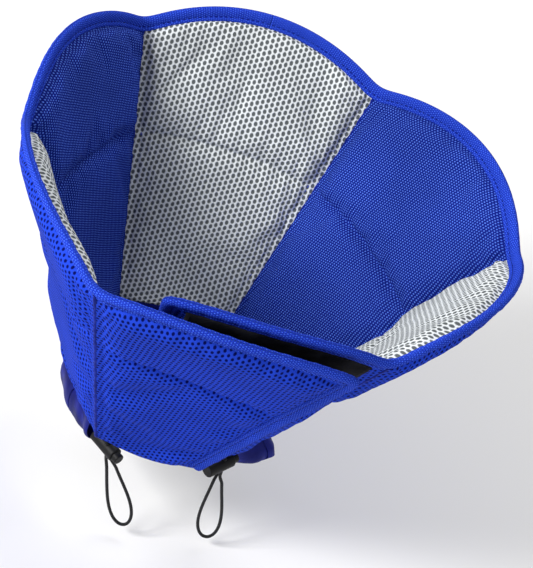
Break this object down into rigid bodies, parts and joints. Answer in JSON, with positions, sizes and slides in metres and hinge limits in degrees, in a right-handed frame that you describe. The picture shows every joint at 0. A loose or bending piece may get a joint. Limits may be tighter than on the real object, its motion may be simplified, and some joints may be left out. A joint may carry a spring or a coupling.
{
  "type": "elizabethan collar",
  "caption": "Soft padded pet recovery cone of sewn fan panels with a scalloped bound rim, a hook-and-loop overlap flap and a drawcord neck with two barrel cord locks.",
  "frame": {"origin": "centre of the neck opening, on the axis of the drawcord sleeve, at the height of the neck hem", "axes": "+Z along the collar axis from the neck opening to the wide mouth, +Y toward the middle panel, opposite the overlapping flaps"},
  "size_m": [0.2919, 0.297, 0.2555],
  "materials": {
    "blue_outer_mesh": "knitted air mesh, royal blue, holes in columns along the slant",
    "blue_lining_mesh": "fine knitted mesh, royal blue",
    "grey_lining_mesh": "coarse knitted air mesh, pale grey with dark holes",
    "foam": "open-cell polyurethane foam, off-white",
    "rim_tape": "padded polyester bias tape, royal blue, slight sheen",
    "sleeve_satin": "smooth woven polyester, dark blue",
    "elastic_cord": "braided elastic cord, black",
    "seam_cloth": "rolled and stitched mesh seam, blue",
    "hook_fabric": "nylon hook tape, black",
    "loop_fabric": "brushed loop fabric, black",
    "pull_cord": "braided polyester cord, black",
    "lock_plastic": "moulded black plastic, satin",
    "spring_steel": "drawn spring wire"
  },
  "bodies": {
    "panel_1": {"outer_cover_1": "blue_outer_mesh", "lining_1": "blue_lining_mesh", "foam_1": "foam", "rim_binding_1": "rim_tape", "hook_strip": "hook_fabric"},
    "panel_2": {"outer_cover_2": "blue_outer_mesh", "lining_2": "grey_lining_mesh", "foam_2": "foam", "rim_binding_2": "rim_tape", "neck_sleeve_2": "sleeve_satin", "drawcord_2": "elastic_cord", "seam_tape_1_2": "seam_cloth"},
    "panel_3": {"outer_cover_3": "blue_outer_mesh", "lining_3": "blue_lining_mesh", "foam_3": "foam", "rim_binding_3": "rim_tape", "neck_sleeve_3": "sleeve_satin", "drawcord_3": "elastic_cord", "seam_tape_2_3": "seam_cloth"},
    "panel_4": {"outer_cover_4": "blue_outer_mesh", "lining_4": "grey_lining_mesh", "foam_4": "foam", "rim_binding_4": "rim_tape", "neck_sleeve_4": "sleeve_satin", "drawcord_4": "elastic_cord", "seam_tape_3_4": "seam_cloth", "seam_tape_4_5": "seam_cloth"},
    "panel_5": {"outer_cover_5": "blue_outer_mesh", "lining_5": "blue_lining_mesh", "foam_5": "foam", "rim_binding_5": "rim_tape", "neck_sleeve_5": "sleeve_satin", "drawcord_5": "elastic_cord", "seam_tape_5_6": "seam_cloth"},
    "panel_6": {"outer_cover_6": "blue_outer_mesh", "lining_6": "grey_lining_mesh", "foam_6": "foam", "rim_binding_6": "rim_tape", "neck_sleeve_6": "sleeve_satin", "drawcord_6": "elastic_cord", "seam_tape_6_7": "seam_cloth"},
    "panel_7": {"outer_cover_7": "blue_outer_mesh", "lining_7": "blue_lining_mesh", "foam_7": "foam", "rim_binding_7": "rim_tape", "loop_pad": "loop_fabric"},
    "cord_loop_left": {"cord_loop_left": "pull_cord"},
    "cord_lock_left": {"lock_barrel_left": "lock_plastic", "lock_spring_left": "spring_steel"},
    "lock_button_left": {"lock_button_left": "lock_plastic"},
    "cord_loop_right": {"cord_loop_right": "pull_cord"},
    "cord_lock_right": {"lock_barrel_right": "lock_plastic", "lock_spring_right": "spring_steel"},
    "lock_button_right": {"lock_button_right": "lock_plastic"}
  },
  "joints": [
    {"name": "unroll", "type": "hinge", "parent": "panel_4", "child": "panel_3", "pos_m": [-0.058, 0.0972, 0.08162], "axis": [0.2284, -0.4037, -0.8859], "range_deg": [0, 63], "stiffness_Nm_per_rad": 0.08, "springref_deg": -40.11},
    {"name": "seam_2_3_opens", "type": "hinge", "parent": "panel_3", "child": "panel_2", "pos_m": [-0.09946, -0.00402, 0.08881], "axis": [0.4011, 0.018, -0.9159], "range_deg": [0, 41.01]},
    {"name": "seam_1_2_opens", "type": "hinge", "parent": "panel_2", "child": "panel_1", "pos_m": [-0.05239, -0.10263, 0.08015], "axis": [0.205, 0.4289, -0.8798], "range_deg": [0, 60.01]},
    {"name": "seam_4_5_opens", "type": "hinge", "parent": "panel_4", "child": "panel_5", "pos_m": [0.0516, 0.0972, 0.08162], "axis": [0.2284, 0.4037, 0.8859], "range_deg": [0, 50.01]},
    {"name": "seam_5_6_opens", "type": "hinge", "parent": "panel_5", "child": "panel_6", "pos_m": [0.11267, 0.00621, 0.07909], "axis": [0.4828, 0.0246, 0.8754], "range_deg": [0, 57.01]},
    {"name": "seam_6_7_opens", "type": "hinge", "parent": "panel_6", "child": "panel_7", "pos_m": [0.06052, -0.09015, 0.08198], "axis": [0.2655, -0.3769, 0.8874], "range_deg": [0, 58.01]},
    {"name": "cord_left_swings", "type": "hinge", "parent": "panel_2", "child": "cord_loop_left", "pos_m": [-0.02545, -0.05926, -0.00507], "axis": [-0.9188, 0.3947, 0], "range_deg": [-10, 35]},
    {"name": "lock_left_slides", "type": "slide", "parent": "cord_loop_left", "child": "cord_lock_left", "axis": [0.2101, 0.2301, -0.9502], "range_m": [0, 0.004]},
    {"name": "button_left_presses", "type": "slide", "parent": "cord_lock_left", "child": "lock_button_left", "axis": [-0.7105, 0.7036, 0.0133], "range_m": [0, 0.0034], "stiffness_N_per_m": 120, "springref_m": -0.001},
    {"name": "cord_right_swings", "type": "hinge", "parent": "panel_6", "child": "cord_loop_right", "pos_m": [0.04189, -0.04828, -0.00004], "axis": [-0.7553, -0.6554, 0], "range_deg": [-10, 35]},
    {"name": "lock_right_slides", "type": "slide", "parent": "cord_loop_right", "child": "cord_lock_right", "axis": [0.1103, 0.0501, -0.9926], "range_m": [0, 0.004]},
    {"name": "button_right_presses", "type": "slide", "parent": "cord_lock_right", "child": "lock_button_right", "axis": [-0.6974, -0.7076, -0.1132], "range_m": [0, 0.0034], "stiffness_N_per_m": 120, "springref_m": -0.001}
  ],
  "couplings": [
    {"joint": "seam_2_3_opens", "follows": "unroll", "ratio": 0.65079},
    {"joint": "seam_1_2_opens", "follows": "unroll", "ratio": 0.95238},
    {"joint": "seam_4_5_opens", "follows": "unroll", "ratio": 0.79365},
    {"joint": "seam_5_6_opens", "follows": "unroll", "ratio": 0.90476},
    {"joint": "seam_6_7_opens", "follows": "unroll", "ratio": 0.92063}
  ]
}
